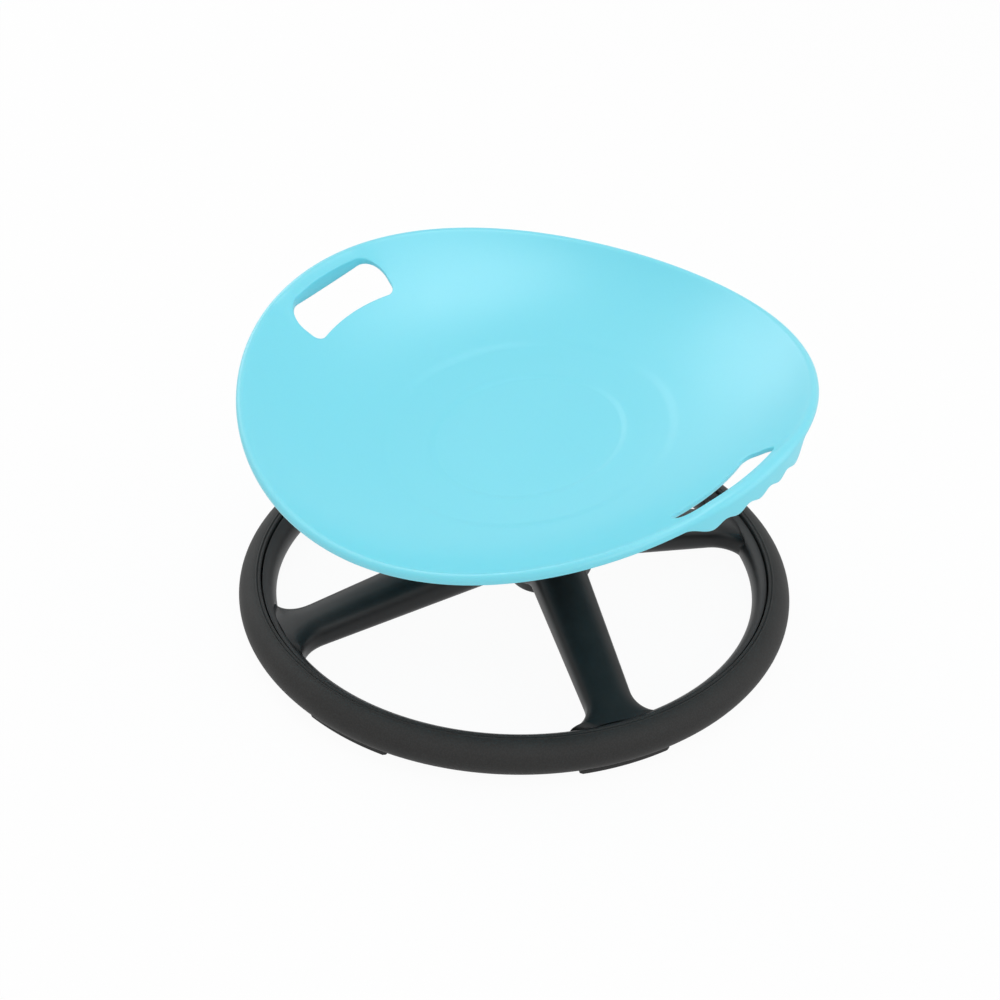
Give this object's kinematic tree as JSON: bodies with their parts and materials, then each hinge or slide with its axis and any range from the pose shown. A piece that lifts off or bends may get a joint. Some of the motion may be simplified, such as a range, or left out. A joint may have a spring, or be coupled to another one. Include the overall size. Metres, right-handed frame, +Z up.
{
  "type": "toddler spinning seat",
  "caption": "Dished child's seat with hand holes in a saddle-shaped rim, turning freely on a leaning ball-bearing spindle above a spoked ring base.",
  "frame": {"origin": "on the floor, under the centre of the base ring", "axes": "+Z up; the spindle leans from upright towards -Y; one spoke runs towards +X and the next towards +Y"},
  "size_m": [0.4876, 0.46, 0.2587],
  "materials": {
    "seat_plastic": "satin moulded polypropylene, light cyan",
    "frame_plastic": "fine-grained moulded plastic, black",
    "cover_plastic": "grained soft-touch plastic, charcoal",
    "pad_rubber": "matt",
    "seal_rubber": "matt",
    "bearing_steel": "ground and polished",
    "shaft_steel": "turned, zinc plated",
    "plate_paint": "black powder coat",
    "spring_steel": "blackened",
    "cage_nylon": "natural nylon",
    "insert_brass": "machined"
  },
  "bodies": {
    "base": {"base_frame": "frame_plastic", "ring_cover": "cover_plastic", "foot_pads": "pad_rubber", "bearing_tube": "shaft_steel", "upper_outer_race": "bearing_steel", "lower_outer_race": "bearing_steel", "upper_seals": "seal_rubber", "lower_seals": "seal_rubber", "bearing_circlip": "spring_steel", "bearing_cover": "frame_plastic", "hub_cap": "frame_plastic"},
    "seat": {"seat_shell": "seat_plastic", "seat_inserts": "insert_brass", "mounting_plate": "plate_paint", "seat_bolts": "shaft_steel", "bolt_washers": "shaft_steel", "spindle": "shaft_steel", "upper_inner_race": "bearing_steel", "lower_inner_race": "bearing_steel", "spacer_sleeve": "shaft_steel", "spindle_washer": "shaft_steel", "spindle_nut": "shaft_steel"},
    "upper_cage_set": {"upper_cage": "cage_nylon", "upper_balls": "bearing_steel"},
    "lower_cage_set": {"lower_cage": "cage_nylon", "lower_balls": "bearing_steel"}
  },
  "joints": [
    {"name": "seat_spin", "type": "hinge", "parent": "base", "child": "seat", "pos_m": [0, 0.02725, 0.0605], "axis": [0, -0.1736, 0.9848], "continuous": true},
    {"name": "upper_cage_spin", "type": "hinge", "parent": "base", "child": "upper_cage_set", "pos_m": [0, 0.02725, 0.0605], "axis": [0, -0.1736, 0.9848], "continuous": true},
    {"name": "lower_cage_spin", "type": "hinge", "parent": "base", "child": "lower_cage_set", "pos_m": [0, 0.02725, 0.0605], "axis": [0, -0.1736, 0.9848], "continuous": true}
  ],
  "couplings": [
    {"joint": "upper_cage_spin", "follows": "seat_spin", "ratio": 0.39758},
    {"joint": "lower_cage_spin", "follows": "seat_spin", "ratio": 0.39758}
  ]
}
